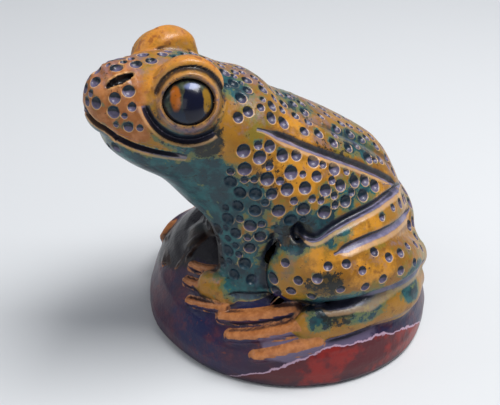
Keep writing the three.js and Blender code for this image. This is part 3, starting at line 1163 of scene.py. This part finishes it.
def frog_glaze(name):
    """Ochre over teal over dark, brushed and fired, with painted shade, highlights and sky
    reflections: the masks say where each shows.
    """
    g = Paint(name)
    a = {m: g.attribute(m) for m in masks}
    broad, patchy, small = g.noise(15), g.noise(5, 4, 0.6), g.noise(1.9, 4, 0.65)
    speck, speck2 = g.noise(0.9, 2), g.noise(1.3, 3, 0.7)
    ragged = g.plus(patchy, (small, 1.3), (speck, 0.4))

    # Ochre, from brown to bright orange, greenish where it runs thin
    ochre = g.mix(g.step(broad, -0.12, 0.12), (140, 92, 18), (166, 116, 30))
    warmth = g.step(g.plus(g.noise(6, 4, 0.65), (a["warm"], 0.22)), 0.06, 0.24)
    ochre = g.mix(warmth, ochre, (200, 136, 36))
    ochre = g.mix(g.step(g.noise(3.5, 4, 0.65), 0.04, 0.2, 0.75), ochre, (112, 66, 14))
    olive_patch = g.step(g.plus(g.noise(7, 5, 0.7), (a["warm"], -0.1)), -0.02, 0.12, 0.75)
    ochre = g.mix(olive_patch, ochre, (118, 108, 30))
    salmon = g.mix(g.step(g.noise(3.5, 4, 0.6), -0.06, 0.14), (158, 88, 40), (190, 122, 78))
    pale = g.plus(a["snout"], (a["upward"], 0.3), (ragged, 0.5))
    color = g.mix(g.step(pale, 0.42, 0.85, 0.8), ochre, salmon)
    # lavender-grey haze, more on faces that point up: partly glaze, partly a painted reflection of
    # the sky
    haze_and_sheen = g.plus(g.noise(4, 5, 0.7), (a["upward"], 0.28))
    color = g.mix(g.step(haze_and_sheen, 0.17, 0.37, 0.62), color, (128, 108, 118))
    wash = g.plus(g.noise(3, 5, 0.7), (a["teal"], 0.34), (a["warm"], -0.08), (a["snout"], -0.1))
    color = g.mix(g.step(wash, 0.1, 0.24, 0.75), color, (92, 108, 62))

    # Teal, with grey-green where it thins out, thickest round the pits
    blots = g.noise(3.2, 5, 0.7)
    halo = g.step(a["pit"], 1.95, 1.15)
    touched = g.step(a["pit_tone"], 0.45, 0.65)
    edge_of = g.plus(0.1, (a["teal"], 0.72), (blots, 1.6), (small, 0.5), (patchy, 0.3))
    edge_of = g.plus(edge_of, (g.times(halo, a["teal"]), 0.3), (g.times(halo, touched), 0.3))
    edge_of = g.plus(edge_of, (a["warm"], -0.14), (a["snout"], -0.08))
    color = g.mix(g.step(edge_of, 0.28, 0.46, 0.7), color, (82, 106, 76))
    teal = g.mix(g.step(g.noise(3, 4, 0.6), -0.1, 0.12), (8, 52, 66), (20, 90, 96))
    teal = g.mix(g.step(g.noise(6), -0.02, 0.2), teal, (8, 32, 50))
    color = g.mix(g.step(edge_of, 0.5, 0.58, 0.94), color, teal)

    color = g.mix(g.step(g.plus(a["valley"], (ragged, 0.4)), 0.3, 0.8, 0.7), color, (104, 96, 104))

    # Dark flecks, thick where the dark glaze was dabbed
    dabs = g.plus(a["dark"], (ragged, 0.6))
    color = g.mix(g.step(dabs, 0.55, 0.85, 0.8), color, (46, 46, 22))
    flecks = g.plus(speck2, (a["dark"], 0.24), (patchy, 0.35), (a["teal"], 0.03))
    color = g.mix(g.step(flecks, 0.165, 0.22, 0.92), color, (20, 26, 26))
    color = g.mix(g.step(g.plus(speck, (small, 0.4)), 0.17, 0.23, 0.8), color, (48, 34, 20))

    # The rims and crests show the pale clay through wear, and carry a painted highlight as well
    wear_and_highlight = g.plus(a["edge"], (ragged, 0.22), (a["teal"], -0.22))
    color = g.mix(g.step(wear_and_highlight, 0.2, 0.5, 0.7), color, (214, 160, 96))

    # Lids and brow
    bag = g.mix(g.step(patchy, -0.08, 0.08), (104, 84, 30), (150, 100, 34))
    color = g.mix(g.times(a["lid"], g.step(ragged, -0.5, 0.3, 0.9)), color, bag)
    lid_specks = g.times(a["lid"], g.step(g.plus(speck2, (small, 0.6)), 0.06, 0.12))
    color = g.mix(lid_specks, color, (30, 30, 30))
    roll_light = g.step(g.plus(patchy, (a["upward"], 0.5)), 0.06, 0.3)
    roll = g.mix(roll_light, (104, 92, 118), (204, 140, 70))
    color = g.mix(g.times(a["lid_roll"], g.step(small, -0.25, 0.15, 0.8)), color, roll)
    ridge = g.mix(g.step(g.plus(small, (patchy, 0.8)), 0.0, 0.16), (216, 140, 44), (160, 92, 34))
    color = g.mix(g.times(a["brow_ridge"], g.step(ragged, -0.6, 0.1, 0.9)), color, ridge)
    color = g.mix(g.times(a["brow_groove"], g.step(ragged, -0.7, -0.1, 0.85)), color, (50, 48, 36))

    # Pits: painted shade on the wall under the upper rim, tinted teal in the teal zones; a lavender
    # floor that is partly glaze and partly a painted reflection of the sky; a pale ring
    # the more a pit faces up, the more of its floor takes the lavender of the painted sky
    # reflection
    tilt = g.plus(
        a["pit_wall"], (small, 0.7), (patchy, 0.5), (a["upward"], -0.55), (a["teal"], 0.95)
    )
    deep = g.mix(g.step(a["teal"], 0.2, 0.7), (16, 30, 40), (8, 44, 60))
    pale_bowl = g.mix(g.step(a["teal"], 0.35, 0.8), (106, 98, 124), (44, 78, 92))
    bowl = g.mix(g.step(tilt, -0.5, 0.1), pale_bowl, deep)
    lower_side = g.step(g.plus(a["pit_wall"], (patchy, 1.2)), 0.35, -0.25, 0.75)
    ring = g.times(g.step(a["pit"], 1.22, 1.12), lower_side, g.step(a["teal"], 0.9, 0.3))
    color = g.mix(ring, color, (220, 176, 122))
    color = g.mix(g.step(g.plus(a["pit"], (small, 0.14)), 1.08, 1.0), color, bowl)

    # Grooves: painted shade on the steep upper wall, a lavender floor that is partly glaze and
    # partly a painted reflection of the sky, pale lower lip
    u = g.plus(a["groove"], (small, 0.5))
    held = g.step(g.plus(a["groove_held"], (small, 0.5)), 0.3, 0.6)
    lip = g.times(held, g.step(u, -2.3, -1.8), g.step(u, -1.0, -1.4, 0.5), a["pooled"])
    color = g.mix(lip, color, (224, 180, 132))
    # the groove's floor: lavender, partly glaze and partly a painted reflection of the sky
    pool = g.times(held, g.step(u, -1.3, -1.0), g.step(u, 0.1, -0.2), a["pooled"])
    color = g.mix(pool, color, g.mix(g.step(patchy, -0.1, 0.1), (108, 104, 134), (140, 132, 158)))
    # painted shade on the groove's steep upper wall
    wall = g.times(held, g.step(u, -0.3, 0.05), g.step(u, 1.0, 0.7, 0.9))
    color = g.mix(wall, color, g.mix(g.step(small, -0.1, 0.1), (20, 30, 48), (40, 54, 62)))

    # The mound: purple-brown and navy, the navy partly a painted reflection of blue surroundings,
    # with rust flecks and one bare red patch
    ground = g.mix(g.step(broad, -0.1, 0.12), (50, 20, 52), (14, 20, 68))
    ground = g.mix(g.step(g.noise(6, 5, 0.7), -0.06, 0.16, 0.85), ground, (86, 32, 50))
    ground = g.mix(g.step(g.noise(2.4, 5, 0.7), 0.1, 0.2, 0.75), ground, (122, 50, 30))
    # painted highlight: a pale lavender band across the glossy mound
    band = g.plus(a["pale_band"], (patchy, 0.8), (small, 0.5))
    ground = g.mix(g.step(band, 0.3, 0.62, 0.85), ground, (112, 100, 128))
    bare = g.plus(a["red"], (broad, 5.0), (patchy, 3.2), (small, 1.0))
    fired = g.mix(g.step(g.plus(patchy, (broad, 1.0)), -0.05, 0.15), (84, 24, 32), (136, 30, 26))
    # painted highlight along the edge of the red patch
    ground = g.mix(g.step(bare, -0.2, 0.1), ground, (190, 158, 180))
    ground = g.mix(g.step(bare, 0.3, 0.5), ground, fired)
    ground = g.mix(g.step(g.plus(a["height"], (patchy, 0.6)), 0.3, 0.05, 0.8), ground, (20, 14, 40))
    on_mound = g.step(g.plus(a["on_mound"], (ragged, 0.35)), 0.35, 0.6)
    color = g.mix(on_mound, color, ground)

    # Fingers and toes
    finger = g.mix(g.step(small, -0.16, 0.18), (160, 96, 48), (194, 126, 72))
    color = g.mix(g.step(g.plus(a["on_digit"], (ragged, 0.3)), 0.35, 0.65, 0.95), color, finger)

    # Painted shade: creases and hollows darkened where little open air is round them
    crease_shade = g.plus(a["open"], (small, 0.35), (a["airy"], 0.12))
    color = g.mix(g.step(crease_shade, 0.85, 0.45, 0.85), color, (14, 20, 36))
    # painted shade, nearly black, in the hollow between the arms and over the hidden right hand
    color = g.mix(g.step(g.plus(a["shade"], (ragged, 0.4)), 0.25, 0.6, 0.94), color, (14, 10, 16))
    bare_clay = g.mix(g.step(patchy, -0.15, 0.15), (150, 112, 86), (176, 138, 108))
    # painted shade deep in the nostril
    color = g.mix(a["pitch"], color, (12, 8, 10))
    color = g.mix(g.step(a["inside"], 0.3, 0.7), color, bare_clay)

    rough = g.plus(0.38, (patchy, 0.3), (a["inside"], 0.4))
    g.bump(g.plus(small, (speck, 0.5), (patchy, 1.2)), 0.22, 0.7)
    return g.finish(color, rough, coat=0.16, coat_roughness=0.12, specular=0.36)


def eye_glaze(name):
    g = Paint(name)
    fore, above = g.attribute("eye_fore"), g.attribute("eye_up")
    small, patchy = g.noise(1.4, 4, 0.6), g.noise(3.5, 3)

    def oval(at_fore, at_up, half, tall):
        """1 at the oval's edge, 0 in its middle."""
        x = g.math("DIVIDE", g.math("SUBTRACT", fore, at_fore), half)
        y = g.math("DIVIDE", g.math("SUBTRACT", above, at_up), tall)
        gap = g.math("SQRT", g.math("ADD", g.times(x, x), g.times(y, y)))
        return g.plus(gap, (small, 0.35))

    color = g.mix(g.step(patchy, -0.12, 0.14), (34, 44, 42), (78, 86, 66))
    color = g.mix(g.step(g.plus(above, (patchy, 3.0)), -1.0, -3.4), color, (10, 30, 54))
    color = g.mix(g.step(oval(3.1, 1.0, 1.3, 3.0), 1.2, 0.7), color, (170, 92, 20))
    color = g.mix(g.step(oval(-4.2, 0.2, 1.2, 3.2), 1.1, 0.8), color, (140, 104, 30))
    color = g.mix(g.step(g.plus(small, (patchy, 0.8)), 0.04, 0.14, 0.7), color, (48, 40, 24))
    color = g.mix(g.step(oval(-1.0, -0.4, 2.6, 5.1), 1.06, 0.92), color, (4, 8, 34))
    # painted highlight: a pale blue patch at the top of the pupil
    color = g.mix(g.step(oval(-0.9, 3.7, 2.2, 1.0), 1.1, 0.4, 0.75), color, (128, 140, 186))
    rim = g.math("SQRT", g.math("ADD", g.times(fore, fore), g.times(above, above, 1.28)))
    color = g.mix(g.step(g.plus(rim, (small, 0.8)), 5.2, 5.9, 0.9), color, (16, 22, 34))
    g.bump(g.plus(small, (patchy, 0.8)), 0.05, 0.4)
    return g.finish(color, 0.24, coat=0.3, coat_roughness=0.03, specular=0.25)


# ---------------------------------------------------------------- pieces

GLAZES = {
    "skin_glaze": frog_glaze("skin_glaze"),
    "throat_glaze": frog_glaze("throat_glaze"),
    "digit_glaze": frog_glaze("digit_glaze"),
    "mound_glaze": frog_glaze("mound_glaze"),
    "eye_glaze": eye_glaze("eye_glaze"),
}


def add_piece(name, where, facing, faces, values, glaze):
    mesh = bpy.data.meshes.new(name)
    mesh.from_pydata(to_row(where).tolist(), [], faces)
    mesh.shade_smooth()
    for mask, value in values.items():
        layer = mesh.attributes.new(mask, "FLOAT", "POINT")
        layer.data.foreach_set("value", np.asarray(value, np.float32))
    mesh.normals_split_custom_set_from_vertices(facing.tolist())
    mesh.materials.append(GLAZES[glaze])
    obj = bpy.data.objects.new(name, mesh)
    bpy.context.scene.collection.objects.link(obj)
    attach(obj, "root")
    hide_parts(node_of(name))


def node_of(name):
    return name.removesuffix("_glazed")


for i, name in enumerate(kinds):
    where, facing, source, faces = closed_piece(quads[code == i])
    glaze = SLOTS.get(name, "digit_glaze" if name[-1].isdigit() else "skin_glaze")
    values = {mask: value[source] for mask, value in masks.items()}
    add_piece(f"{name}_glazed", where, facing, faces, values, glaze)

rings, slices = 64, 96
for side, name in ((1, "eyeball_left"), (-1, "eyeball_right")):
    v, u = np.meshgrid(
        np.linspace(0, math.pi, rings + 1)[1:-1],
        np.arange(slices) * 2 * math.pi / slices,
        indexing="ij",
    )
    ball = np.stack([np.sin(v) * np.cos(u), np.sin(v) * np.sin(u), np.cos(v)], -1).reshape(-1, 3)
    ball = np.vstack([ball, [[0, 0, 1], [0, 0, -1]]])
    where = EYE + EYE_R * (ball @ np.array([EYE_FORE, EYE_UP, EYE_OUT]))
    q = where - EYE
    faces = []
    for r in range(rings - 2):
        for s in range(slices):
            t = (s + 1) % slices
            this_ring, next_ring = r * slices, (r + 1) * slices
            faces.append((this_ring + s, next_ring + s, next_ring + t, this_ring + t))
    last = (rings - 2) * slices
    for s in range(slices):
        t = (s + 1) % slices
        faces.append((len(ball) - 2, s, t))
        faces.append((len(ball) - 1, last + t, last + s))
    values = {"eye_fore": q @ EYE_FORE, "eye_up": q @ EYE_UP}
    facing = unit(q)
    turns = np.linalg.det(np.array([EYE_FORE, EYE_UP, EYE_OUT])) < 0
    if side < 0:
        where = (where - [EYE_SHIFT[0], -EYE_SHIFT[1], 0]) * [-1, 1, 1]
        facing = facing * [-1, 1, 1]
    if turns != (side < 0):
        faces = [f[::-1] for f in faces]
    add_piece(f"{name}_glazed", where, facing, faces, values, "eye_glaze")

# ---------------------------------------------------------------- stage

bpy.ops.mesh.primitive_plane_add(size=6)
floor = bpy.context.object
floor.name = "floor"
pale = Paint("floor")
floor.data.materials.append(pale.finish((218, 220, 222), 0.8, coat=0.0))


# The camera stands round the mound's axis, in degrees and millimetres
CAMERA_AZIMUTH, CAMERA_ELEVATION, CAMERA_DISTANCE = 62, 37, 300
CAMERA_AIM = np.array([-4, -11, 34])
CAMERA_ROLL = 1.3


def look_axes(back, roll):
    """Right, up and back of a camera that looks against back."""
    back = unit(back)
    level = unit(np.cross([0, 0, 1], back))
    t = math.radians(roll)
    right = math.cos(t) * level + math.sin(t) * np.cross(back, level)
    return right, np.cross(back, right), back


def view_axes(azimuth, elevation, roll):
    a, e = math.radians(azimuth), math.radians(elevation)
    back = [math.sin(a) * math.cos(e), -math.cos(a) * math.cos(e), math.sin(e)]
    return look_axes(np.array(back), roll)


camera = bpy.data.objects.new("camera", bpy.data.cameras.new("camera"))
bpy.context.scene.collection.objects.link(camera)
bpy.context.scene.camera = camera
_, _, towards = view_axes(CAMERA_AZIMUTH, CAMERA_ELEVATION, 0)
eye_at = CAMERA_DISTANCE * towards
right, up, back = look_axes(eye_at - CAMERA_AIM, CAMERA_ROLL)
where = to_row(eye_at)
pose = Matrix([[*v, 0] for v in np.array([right, up, back]).T] + [[0, 0, 0, 1]])
camera.matrix_world = Matrix.Translation(Vector(where)) @ pose
camera.data.lens = 69
camera.data.sensor_width = 36.0
camera.data.clip_start = 0.01


def area_light(name, position, target, size, power, color=(1, 1, 1)):
    data = bpy.data.lights.new(name, "AREA")
    data.size = size
    data.energy = power
    data.color = color
    light = bpy.data.objects.new(name, data)
    bpy.context.scene.collection.objects.link(light)
    light.location = position
    aim = Vector(target) - Vector(position)
    light.rotation_euler = aim.to_track_quat("-Z", "Y").to_euler()


area_light("key", (0.1, 0.2, 0.62), (0, 0, 0.04), 0.34, 4.4)
area_light("fill", (0.5, -0.5, 0.3), (0, 0, 0.04), 0.5, 0.7)
area_light("front", (-0.3, -0.5, 0.4), (0, 0, 0.04), 0.4, 0.6)
world = bpy.data.worlds.new("world")
bpy.context.scene.world = world
world.use_nodes = True
world.node_tree.nodes["Background"].inputs[0].default_value = (0.85, 0.9, 1.0, 1)
world.node_tree.nodes["Background"].inputs[1].default_value = 0.26
bpy.context.scene.view_settings.view_transform = "Standard"
